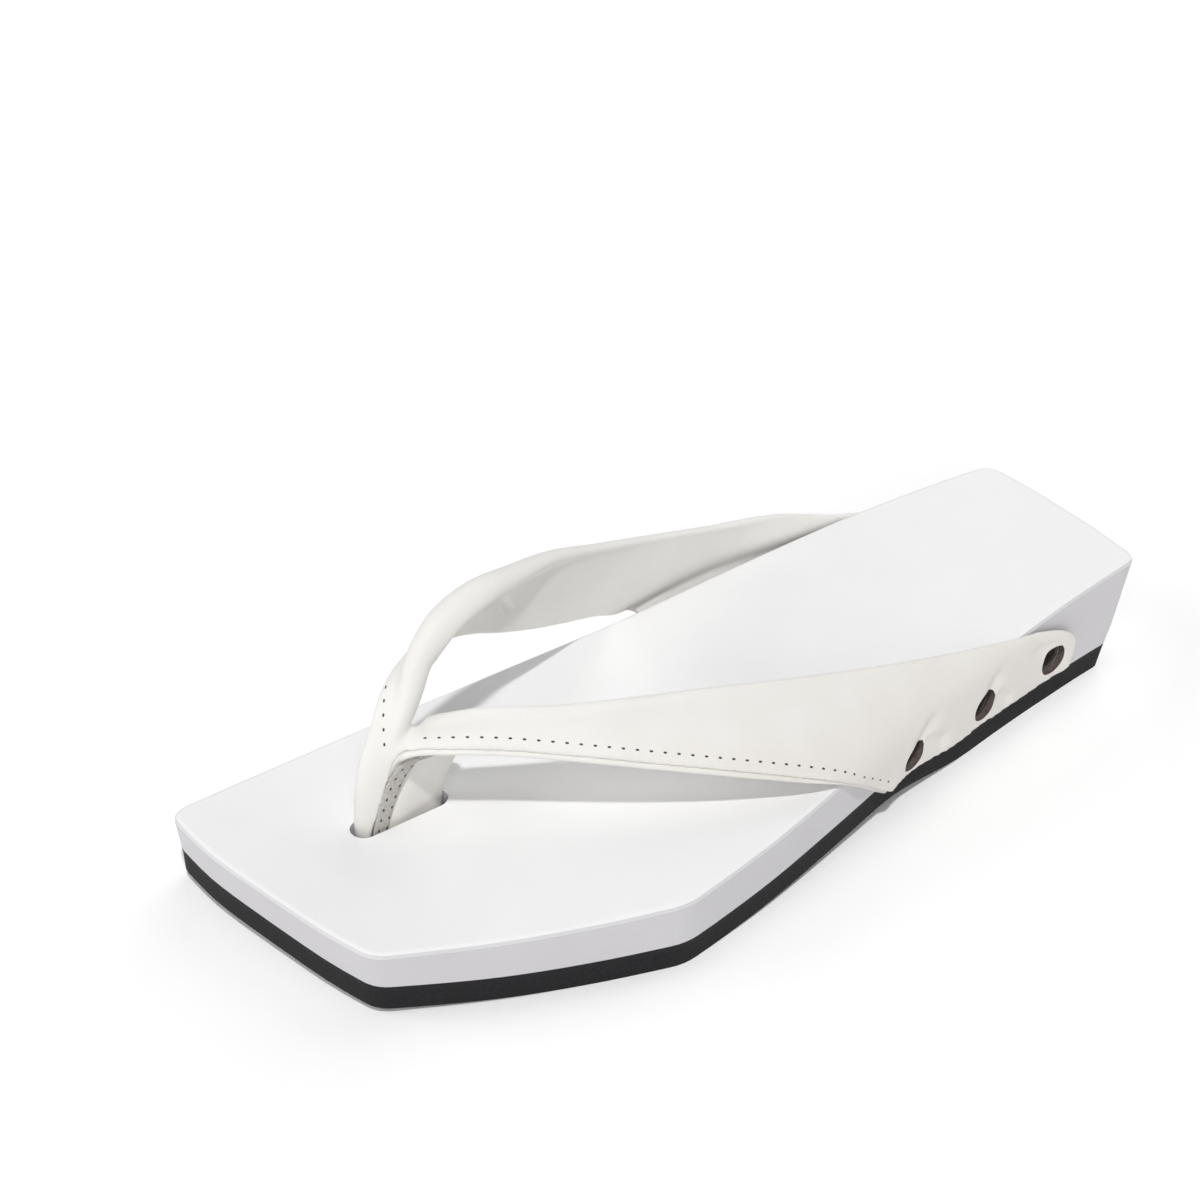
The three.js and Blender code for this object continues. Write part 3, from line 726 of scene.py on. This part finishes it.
def blend(nodes, links, share, a, b):
    """Colour a where the share is 0, colour b where it is 1."""
    mix = nodes.new("ShaderNodeMix")
    mix.data_type = "RGBA"
    links.new(share, mix.inputs["Factor"])
    links.new(a, mix.inputs["A"])
    links.new(b, mix.inputs["B"])
    return mix.outputs["Result"]


def grain(nodes, links, shader, place, cells, fine, strength, depth):
    """Bump from small cells and finer noise."""
    pebble = nodes.new("ShaderNodeTexVoronoi")
    pebble.feature = "SMOOTH_F1"
    pebble.inputs["Scale"].default_value = cells
    links.new(place, pebble.inputs["Vector"])
    noise = nodes.new("ShaderNodeTexNoise")
    noise.inputs["Scale"].default_value = fine
    links.new(place, noise.inputs["Vector"])
    both = nodes.new("ShaderNodeMath")
    both.operation = "ADD"
    links.new(pebble.outputs["Distance"], both.inputs[0])
    links.new(noise.outputs["Fac"], both.inputs[1])
    bump = nodes.new("ShaderNodeBump")
    bump.inputs["Strength"].default_value = strength
    bump.inputs["Distance"].default_value = depth * MM
    links.new(both.outputs["Value"], bump.inputs["Height"])
    links.new(bump.outputs["Normal"], shader.inputs["Normal"])


def white_paint():
    """Satin paint on the block, with painted shade darkening its sides, and bare wood painted dark as shade in
    and round the side bores.
    """
    m, nodes, links, shader, place = material("white_paint", 0.5)
    top = mottle(nodes, links, place, 45, (0.885, 0.885, 0.888), (0.91, 0.91, 0.912))
    # Painted shade: the sides take a darker tone than the top, blended in by how far each face looks up
    shaded_sides = mottle(nodes, links, place, 45, (0.63, 0.616, 0.64), (0.655, 0.641, 0.662))
    facing = nodes.new("ShaderNodeSeparateXYZ")
    links.new(nodes["Texture Coordinate"].outputs["Normal"], facing.inputs["Vector"])
    coat_with_shade = blend(nodes, links, share_of(nodes, links, facing.outputs["Z"], *TOP_FACING), shaded_sides, top)
    # Painted shade: bare wood in the side bores, painted much darker than it is as shade in the recess; the
    # dark patch also reaches onto the wall round each hole
    shaded_wood = mottle(nodes, links, place, 900, (0.045, 0.034, 0.03), (0.11, 0.088, 0.078))
    split = nodes.new("ShaderNodeSeparateXYZ")
    links.new(place, split.inputs["Vector"])
    flat = nodes.new("ShaderNodeCombineXYZ")
    links.new(split.outputs["Y"], flat.inputs["Y"])
    links.new(split.outputs["Z"], flat.inputs["Z"])
    inside = None
    for y, *_ in HOLES:
        away = nodes.new("ShaderNodeVectorMath")
        away.operation = "DISTANCE"
        away.inputs[1].default_value = (0, (y + SHIFT[1]) * MM, HOLE_HEIGHT * MM)
        links.new(flat.outputs["Vector"], away.inputs[0])
        near = nodes.new("ShaderNodeMath")
        near.operation = "LESS_THAN"
        near.inputs[1].default_value = BORE_SHADE_RADIUS * MM
        links.new(away.outputs["Value"], near.inputs[0])
        if inside:
            either = nodes.new("ShaderNodeMath")
            either.operation = "MAXIMUM"
            links.new(inside, either.inputs[0])
            links.new(near.outputs["Value"], either.inputs[1])
            near = either
        inside = near.outputs["Value"]
    links.new(blend(nodes, links, inside, coat_with_shade, shaded_wood), shader.inputs["Base Color"])
    grain(nodes, links, shader, place, 320, 1500, 0.06, 0.08)
    return m


def black_rubber():
    m, nodes, links, shader, place = material("black_rubber", 0.75)
    tone = mottle(nodes, links, place, 1400, (0.007, 0.006, 0.008), (0.016, 0.0145, 0.0165))
    links.new(tone, shader.inputs["Base Color"])
    shader.inputs["Specular IOR Level"].default_value = 0.3
    grain(nodes, links, shader, place, 900, 2600, 0.25, 0.12)
    return m


def white_leather():
    m, nodes, links, shader, place = material("white_leather", 0.55)
    # Painted shade: the leather gets a darker tone low down and towards the lateral side, where the side lies
    # in shade
    unshaded_tone = mottle(nodes, links, place, 70, (0.862, 0.842, 0.806), (0.892, 0.88, 0.85))
    shaded_tone = mottle(nodes, links, place, 70, (0.785, 0.75, 0.708), (0.825, 0.797, 0.76))
    height = nodes.new("ShaderNodeVectorMath")
    height.operation = "DOT_PRODUCT"
    height.inputs[1].default_value = SHADE_SLOPE
    links.new(place, height.inputs[0])
    fade = share_of(nodes, links, height.outputs["Value"], SHADE_FROM * MM, SHADE_TO * MM)
    links.new(blend(nodes, links, fade, shaded_tone, unshaded_tone), shader.inputs["Base Color"])
    shader.inputs["Specular IOR Level"].default_value = 0.35
    grain(nodes, links, shader, place, 850, 2400, 0.16, 0.1)
    return m


def flesh_side():
    m, nodes, links, shader, place = material("flesh_side", 0.95)
    tone = mottle(nodes, links, place, 1300, (0.46, 0.44, 0.41), (0.60, 0.58, 0.55), 6.0, 0.2)
    links.new(tone, shader.inputs["Base Color"])
    grain(nodes, links, shader, place, 1600, 3200, 0.5, 0.25)
    return m


# Brown raw leather edge for the hole walls, made much darker as painted shade in the holes
def shaded_raw_edge():
    m, nodes, links, shader, place = material("shaded_raw_edge", 0.9)
    tone = mottle(nodes, links, place, 1000, (0.06, 0.046, 0.04), (0.15, 0.12, 0.105))
    links.new(tone, shader.inputs["Base Color"])
    grain(nodes, links, shader, place, 1200, 3000, 0.4, 0.2)
    return m


def dark_thread():
    m, nodes, links, shader, place = material("dark_thread", 0.85)
    tone = mottle(nodes, links, place, 2500, (0.04, 0.037, 0.034), (0.12, 0.11, 0.10))
    links.new(tone, shader.inputs["Base Color"])
    return m


def white_floor():
    m, _, _, shader, _ = material("white_floor", 0.95)
    shader.inputs["Base Color"].default_value = (0.97, 0.97, 0.97, 1)
    shader.inputs["Emission Color"].default_value = (1, 1, 1, 1)
    shader.inputs["Emission Strength"].default_value = FLOOR_GLOW
    return m


paint, rubber, leather = white_paint(), black_rubber(), white_leather()
flesh, edge, thread = flesh_side(), shaded_raw_edge(), dark_thread()


def dress(o, m):
    o.data.materials.clear()
    o.data.materials.append(m)


def dress_hole_walls(o, m):
    """Gives the cut leather inside the side holes its own material, a brown raw edge darkened by painted
    shade.
    """
    o.data.materials.append(m)
    middle = np.array([p.center for p in o.data.polygons]) / MM - SHIFT
    across = np.abs(np.array([p.normal for p in o.data.polygons])[:, 0])
    inside = np.zeros(len(middle), int)
    for y, *_ in HOLES:
        away = np.hypot(middle[:, 1] - y, middle[:, 2] - HOLE_HEIGHT)
        inside |= (away < HOLE_LENGTH / 2 + HOLE_MARGIN) & (across < HOLE_WALL_FACING)
    o.data.polygons.foreach_set("material_index", inside)


dress(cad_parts["base"], paint)
dress(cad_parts["outsole"], rubber)
for o in (strap, lining, tongue):
    dress(o, leather)
dress_hole_walls(strap, edge)
dress(strip, flesh)
for o in (stitches, strip_stitches):
    dress(o, thread)

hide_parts("upper")
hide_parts("toe_post")
for o in (strap, lining, tongue, strip, stitches, strip_stitches):
    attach(o, "root")
for node in ("base", "outsole"):
    smooth_by_angle(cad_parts[node], CAD_SHARP)

# Floor, light and camera
FLOOR_HALF = 4000
CAMERA = (438.332, -349.737, 440.486)
CAMERA_AZIMUTH = 53.795
CAMERA_ELEVATION = 34.652
LENS = 84.0
SENSOR = 36.0
# The world adds no light of its own
SKY = 0.0
# Lights: name, direction towards the light, spread in degrees, strength
LIGHTS = [
    ("key", (0.44, -0.245, 1.0), 3.0, 1.66),
    ("fill", (-0.64, -0.76, 0.38), 45.0, 1.0),
    ("back", (-0.3, 0.8, 0.6), 60.0, 1.05),
    ("top", (0.0, 0.0, 1.0), 50.0, 0.15),
    ("front", (0.64, -0.5, 0.5), 40.0, 0.88),
]


def far_light(name, direction, spread, strength):
    data = bpy.data.lights.new(name, "SUN")
    data.angle, data.energy = math.radians(spread), strength
    o = bpy.data.objects.new(name, data)
    bpy.context.scene.collection.objects.link(o)
    o.location = Vector(direction)
    o.rotation_euler = (-o.location).to_track_quat("-Z", "Y").to_euler()


def stage():
    corners = [(x * FLOOR_HALF, y * FLOOR_HALF, 0) for x, y in ((-1, -1), (1, -1), (1, 1), (-1, 1))]
    floor = mesh_object("floor", corners, [(0, 1, 2, 3)])
    dress(floor, white_floor())
    world = bpy.data.worlds.new("studio")
    world.use_nodes = True
    world.node_tree.nodes["Background"].inputs["Color"].default_value = (1, 1, 1, 1)
    world.node_tree.nodes["Background"].inputs["Strength"].default_value = SKY
    bpy.context.scene.world = world
    for light in LIGHTS:
        far_light(*light)


def camera():
    data = bpy.data.cameras.new("camera")
    data.lens, data.sensor_width = LENS, SENSOR
    o = bpy.data.objects.new("camera", data)
    bpy.context.scene.collection.objects.link(o)
    az, el = math.radians(CAMERA_AZIMUTH), math.radians(CAMERA_ELEVATION)
    back = Vector((math.sin(az) * math.cos(el), -math.cos(az) * math.cos(el), math.sin(el)))
    o.location = Vector((np.array(CAMERA) + SHIFT) * MM)
    o.rotation_euler = (-back).to_track_quat("-Z", "Y").to_euler()
    bpy.context.scene.camera = o


stage()
camera()
bpy.context.scene.view_settings.view_transform = "Standard"
